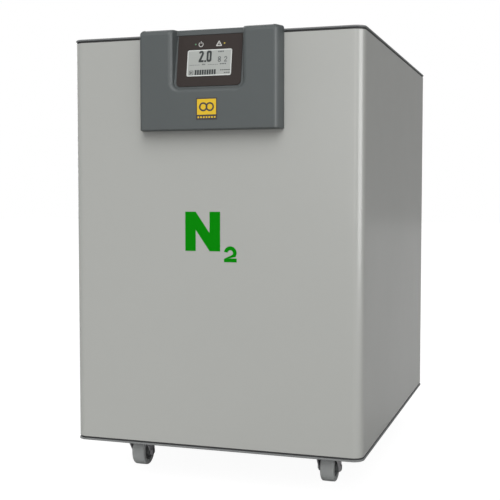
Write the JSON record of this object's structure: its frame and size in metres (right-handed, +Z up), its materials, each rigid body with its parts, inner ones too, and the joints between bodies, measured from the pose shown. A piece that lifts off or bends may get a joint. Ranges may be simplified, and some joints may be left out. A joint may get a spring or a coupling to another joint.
{
  "type": "laboratory nitrogen generator",
  "caption": "Floor-standing laboratory nitrogen generator cabinet on swivel castors, with a display console hooked on its top front edge.",
  "frame": {"origin": "on the floor under the middle of the cabinet's bounding box", "axes": "+Z up, -Y towards the front panel and its console, +X to the right as seen from the front"},
  "size_m": [0.502, 0.726, 0.755],
  "materials": {
    "panel_paint": "satin fine-texture powder coat, light warm grey",
    "lid_paint": "satin grey moulding, rounded edge",
    "edge_trim": "satin mid-grey edge moulding",
    "dark_seal": "matt black gasket",
    "console_plastic": "fine-textured blue-grey moulding",
    "membrane_film": "dark brown printed film, satin",
    "lcd_glass": "pale reflective display",
    "badge_enamel": "yellow printed plate with a dark border",
    "circuit_board": "green solder mask",
    "castor_steel": "zinc-plated pressed steel, greyish",
    "castor_tread": "grey non-marking tread",
    "bright_steel": "plated steel",
    "zinc_steel": "galvanised sheet",
    "black_plastic": "black moulded plastic",
    "switch_plastic": "black gloss rocker with white marks",
    "fan_plastic": "black moulded plastic",
    "guard_wire": "bright plated wire",
    "brass_fitting": "machined brass",
    "cast_aluminium": "sand-cast, matt",
    "separator_aluminium": "anodised",
    "manifold_aluminium": "milled",
    "column_aluminium": "extruded tube",
    "tank_paint": "dark blue-grey enamel",
    "copper_pipe": "drawn copper",
    "gas_tube": "blue polyurethane",
    "isolator_rubber": "black rubber"
  },
  "bodies": {
    "root": {"aftercooler_coil": "copper_pipe", "badge_plate": "badge_enamel", "base_pan": "dark_seal", "base_trim": "edge_trim", "buffer_tank": "tank_paint", "compressor_body": "cast_aluminium", "console_housing": "console_plastic", "control_board": "circuit_board", "drain_fitting": "brass_fitting", "fan_frame": "black_plastic", "fan_guard": "guard_wire", "front_left_castor_plate": "castor_steel", "front_left_isolator": "isolator_rubber", "front_left_post": "zinc_steel", "front_panel": "panel_paint", "front_right_castor_plate": "castor_steel", "front_right_isolator": "isolator_rubber", "front_right_post": "zinc_steel", "gas_outlet_fitting": "brass_fitting", "lcd_module": "lcd_glass", "left_cylinder": "cast_aluminium", "left_side_panel": "panel_paint", "membrane_panel": "membrane_film", "mid_shelf": "zinc_steel", "outlet_tube": "gas_tube", "power_entry": "black_plastic", "power_supply": "zinc_steel", "pressure_regulator": "brass_fitting", "psa_column_a": "column_aluminium", "psa_column_b": "column_aluminium", "rear_left_castor_plate": "castor_steel", "rear_left_isolator": "isolator_rubber", "rear_left_post": "zinc_steel", "rear_panel": "panel_paint", "rear_right_castor_plate": "castor_steel", "rear_right_isolator": "isolator_rubber", "rear_right_post": "zinc_steel", "right_cylinder": "cast_aluminium", "right_side_panel": "panel_paint", "top_gasket": "dark_seal", "top_lid": "lid_paint", "upper_manifold": "manifold_aluminium", "valve_manifold": "manifold_aluminium", "water_separator": "separator_aluminium"},
    "compressor_rotor": {"compressor_fan": "fan_plastic", "compressor_shaft": "bright_steel"},
    "exhaust_fan": {"fan_rotor": "fan_plastic"},
    "front_left_castor_swivel": {"front_left_castor_axle": "bright_steel", "front_left_castor_fork": "castor_steel"},
    "front_left_castor_wheel_body": {"front_left_castor_wheel": "castor_tread"},
    "front_right_castor_swivel": {"front_right_castor_axle": "bright_steel", "front_right_castor_fork": "castor_steel"},
    "front_right_castor_wheel_body": {"front_right_castor_wheel": "castor_tread"},
    "rear_left_castor_swivel": {"rear_left_castor_axle": "bright_steel", "rear_left_castor_fork": "castor_steel"},
    "rear_left_castor_wheel_body": {"rear_left_castor_wheel": "castor_tread"},
    "rear_right_castor_swivel": {"rear_right_castor_axle": "bright_steel", "rear_right_castor_fork": "castor_steel"},
    "rear_right_castor_wheel_body": {"rear_right_castor_wheel": "castor_tread"},
    "rocker": {"switch_rocker": "switch_plastic"}
  },
  "joints": [
    {"name": "front_left_castor_swivel_joint", "type": "hinge", "parent": "root", "child": "front_left_castor_swivel", "pos_m": [-0.1735, -0.254, 0.06], "axis": [0, 0, 1], "continuous": true},
    {"name": "front_left_castor_roll_joint", "type": "hinge", "parent": "front_left_castor_swivel", "child": "front_left_castor_wheel_body", "pos_m": [-0.1735, -0.229, 0.02479], "axis": [1, 0, 0], "continuous": true},
    {"name": "front_right_castor_swivel_joint", "type": "hinge", "parent": "root", "child": "front_right_castor_swivel", "pos_m": [0.1735, -0.254, 0.06], "axis": [0, 0, 1], "continuous": true},
    {"name": "front_right_castor_roll_joint", "type": "hinge", "parent": "front_right_castor_swivel", "child": "front_right_castor_wheel_body", "pos_m": [0.1735, -0.229, 0.02479], "axis": [1, 0, 0], "continuous": true},
    {"name": "rear_left_castor_swivel_joint", "type": "hinge", "parent": "root", "child": "rear_left_castor_swivel", "pos_m": [-0.1735, 0.254, 0.06], "axis": [0, 0, 1], "continuous": true},
    {"name": "rear_left_castor_roll_joint", "type": "hinge", "parent": "rear_left_castor_swivel", "child": "rear_left_castor_wheel_body", "pos_m": [-0.1735, 0.279, 0.02479], "axis": [1, 0, 0], "continuous": true},
    {"name": "rear_right_castor_swivel_joint", "type": "hinge", "parent": "root", "child": "rear_right_castor_swivel", "pos_m": [0.1735, 0.254, 0.06], "axis": [0, 0, 1], "continuous": true},
    {"name": "rear_right_castor_roll_joint", "type": "hinge", "parent": "rear_right_castor_swivel", "child": "rear_right_castor_wheel_body", "pos_m": [0.1735, 0.279, 0.02479], "axis": [1, 0, 0], "continuous": true},
    {"name": "mains_switch_joint", "type": "hinge", "parent": "root", "child": "rocker", "pos_m": [0.165, 0.338, 0.187], "axis": [0, 0, -1], "range_deg": [0, 14]},
    {"name": "exhaust_fan_joint", "type": "hinge", "parent": "root", "child": "exhaust_fan", "pos_m": [-0.12, 0.325, 0.3], "axis": [0, 1, 0], "continuous": true},
    {"name": "compressor_joint", "type": "hinge", "parent": "root", "child": "compressor_rotor", "pos_m": [0, -0.06, 0.18], "axis": [1, 0, 0], "continuous": true}
  ]
}
